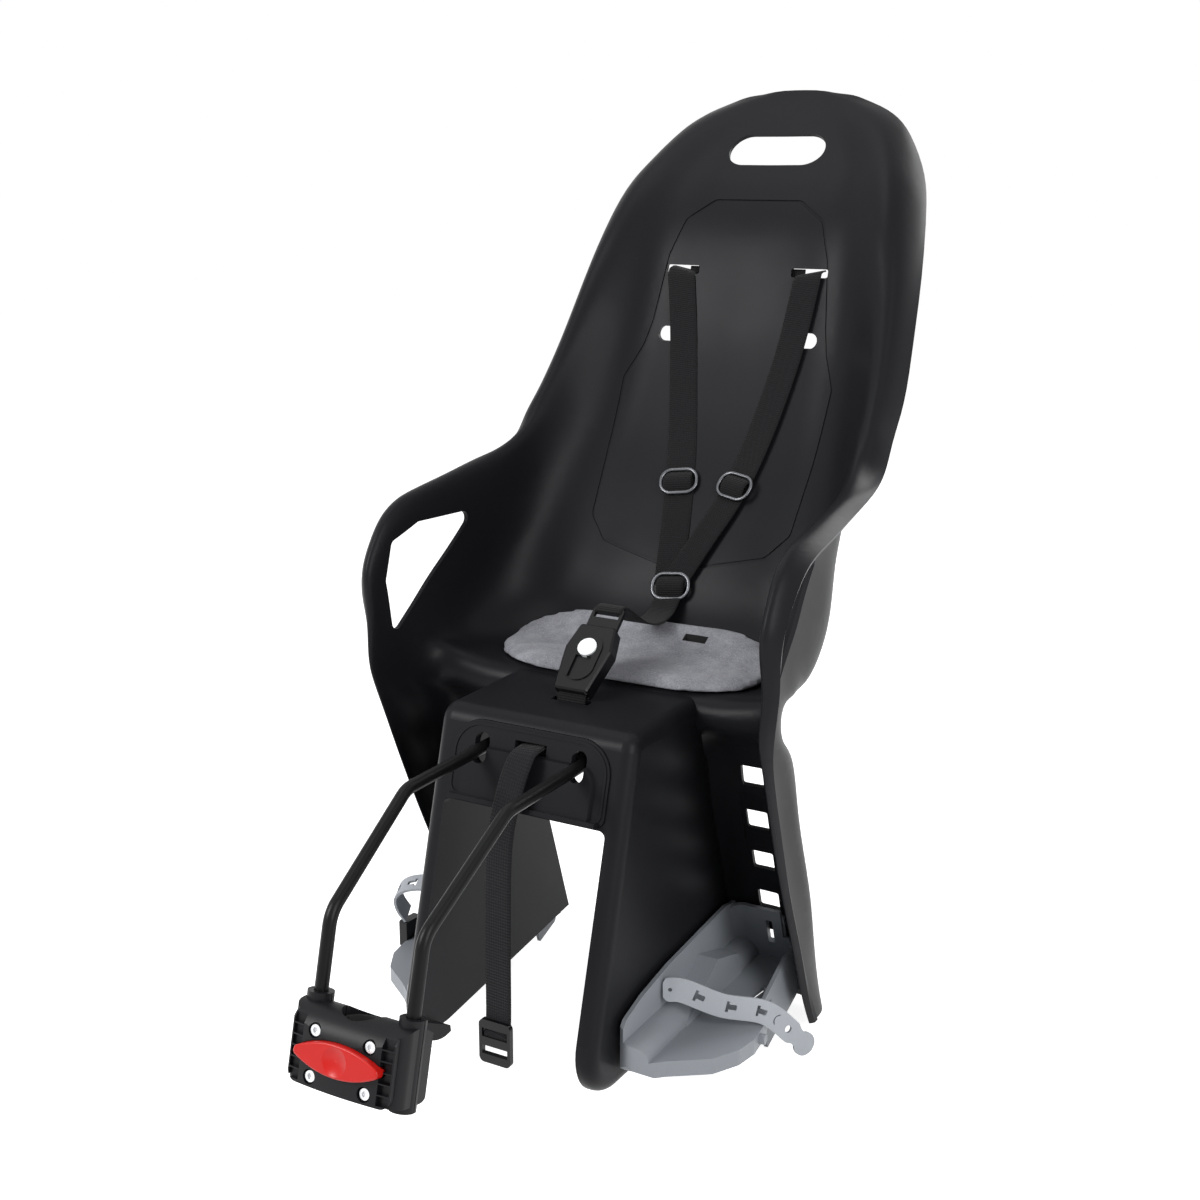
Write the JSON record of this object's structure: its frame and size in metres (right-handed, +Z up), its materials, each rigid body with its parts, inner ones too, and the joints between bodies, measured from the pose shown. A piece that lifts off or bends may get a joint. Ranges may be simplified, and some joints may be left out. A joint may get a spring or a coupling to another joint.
{
  "type": "child bike seat",
  "caption": "High-backed moulded child bike seat with arm loops, leg wells, footrests and a harness, carried by a bent rod in a seat-tube clamp with a quick-release button.",
  "frame": {"origin": "middle of the seat-tube bore in the clamp", "axes": "+Z up as the seat stands on the bicycle, -Y the way that the rider faces, +X the rider's left"},
  "size_m": [0.4085, 0.7873, 0.8139],
  "materials": {
    "shell": "fine satin moulding grain",
    "bracket": "satin",
    "rod": "satin powder coat",
    "clamp": "satin",
    "pad": "matte",
    "steel": "zinc plated",
    "red_button": "gloss",
    "footrest": "satin",
    "foot_strap": "soft matte",
    "cushion": "felted",
    "webbing": "woven",
    "buckle": "satin",
    "white_button": "gloss"
  },
  "bodies": {
    "carrier": {"front_cover": "clamp", "front_housing": "clamp", "rear_housing": "clamp", "clamp_pad_front": "pad", "clamp_pad_rear": "pad", "clamp_screws": "steel", "clamp_nuts": "steel", "carrier_rod": "rod"},
    "seat": {"seat_shell": "shell", "front_plate": "shell", "carrier_bracket": "bracket", "carrier_clamp_plate": "bracket", "bracket_bolts": "steel", "seat_cushion": "cushion", "shoulder_strap_left": "webbing", "shoulder_strap_right": "webbing", "strap_slider_left": "buckle", "strap_slider_right": "buckle", "yoke_slider": "buckle", "waist_strap": "webbing", "rear_strap": "webbing", "buckle_housing": "buckle", "buckle_tongue": "buckle", "crotch_strap": "webbing", "crotch_anchor": "steel", "safety_strap": "webbing", "safety_strap_lock": "buckle"},
    "left_footrest": {"footrest_left": "footrest", "foot_strap_left": "foot_strap", "foot_stud_left": "footrest"},
    "right_footrest": {"footrest_right": "footrest", "foot_strap_right": "foot_strap", "foot_clip_right": "buckle"},
    "release": {"release_button": "red_button"},
    "left_latch": {"latch_left": "steel"},
    "right_latch": {"latch_right": "steel"},
    "buckle_release": {"buckle_button": "white_button"}
  },
  "joints": [
    {"name": "seat_fore_aft", "type": "slide", "parent": "carrier", "child": "seat", "axis": [0, 1, 0], "range_m": [-0.03, 0.03]},
    {"name": "footrest_left_height", "type": "slide", "parent": "seat", "child": "left_footrest", "axis": [0, -0.3262, 0.9453], "range_m": [0, 0.093]},
    {"name": "footrest_right_height", "type": "slide", "parent": "seat", "child": "right_footrest", "axis": [0, -0.3262, 0.9453], "range_m": [0, 0.093]},
    {"name": "release_button", "type": "slide", "parent": "carrier", "child": "release", "axis": [0, 0.9659, -0.2588], "range_m": [0, 0.004], "stiffness_N_per_m": 1500, "springref_m": -0.003},
    {"name": "latch_left", "type": "slide", "parent": "carrier", "child": "left_latch", "axis": [-1, 0, 0], "range_m": [0, 0.0024]},
    {"name": "latch_right", "type": "slide", "parent": "carrier", "child": "right_latch", "axis": [1, 0, 0], "range_m": [0, 0.0024]},
    {"name": "buckle_button", "type": "slide", "parent": "seat", "child": "buckle_release", "axis": [0, 0.6561, -0.7547], "range_m": [0, 0.0013], "stiffness_N_per_m": 1500, "springref_m": -0.001}
  ],
  "couplings": [
    {"joint": "latch_left", "follows": "release_button", "ratio": 0.6},
    {"joint": "latch_right", "follows": "release_button", "ratio": 0.6}
  ]
}
